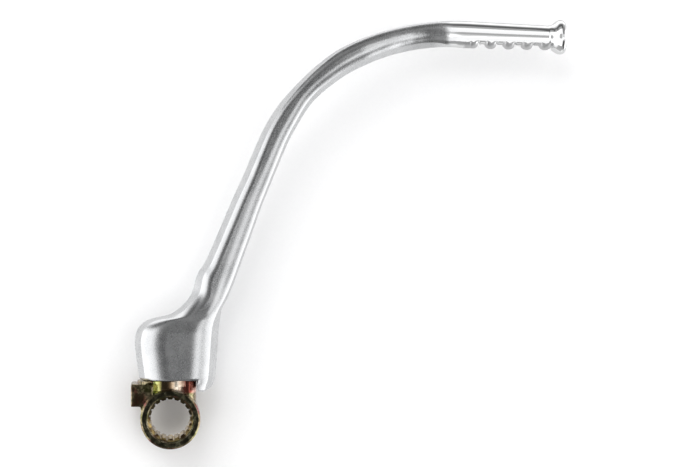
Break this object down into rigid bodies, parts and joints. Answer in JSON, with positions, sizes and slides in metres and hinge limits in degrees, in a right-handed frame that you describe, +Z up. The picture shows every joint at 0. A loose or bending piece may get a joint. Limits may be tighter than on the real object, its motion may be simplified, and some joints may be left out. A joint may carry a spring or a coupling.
{
  "type": "kick start lever",
  "caption": "Folding kick start lever with a splined hub, a pivoting curved arm, a cleated foot peg and a ball detent.",
  "frame": {"origin": "centre of the splined hub, on the kick shaft's axis", "axes": "+Y along the kick shaft towards the engine, +Z up from the hub along the fold pivot, +X the way the folded peg points"},
  "size_m": [0.2181, 0.0342, 0.214],
  "materials": {
    "plated_steel": "yellow zinc plated, glossy, with rainbow tints",
    "satin_aluminium": "satin blasted arm with a polished peg",
    "dark_steel": "black oxide",
    "bright_steel": "bright",
    "rubber": "matt black",
    "spring_steel": "drawn wire",
    "ball_steel": "polished"
  },
  "bodies": {
    "knuckle": {"knuckle": "plated_steel"},
    "arm": {"lever_arm": "satin_aluminium", "pivot_screw": "dark_steel", "thrust_washer": "bright_steel", "seal_ring": "rubber", "detent_spring": "spring_steel"},
    "ball": {"detent_ball": "ball_steel"}
  },
  "joints": [
    {"name": "arm_fold", "type": "hinge", "parent": "knuckle", "child": "arm", "pos_m": [0.0025, 0, 0.03], "axis": [0, 0, -1], "range_deg": [0, 90]},
    {"name": "detent_travel", "type": "slide", "parent": "arm", "child": "ball", "axis": [0, 0, 1], "range_m": [0, 0.0008], "stiffness_N_per_m": 3000, "springref_m": -0.003, "deforming": ["detent_spring"]}
  ]
}
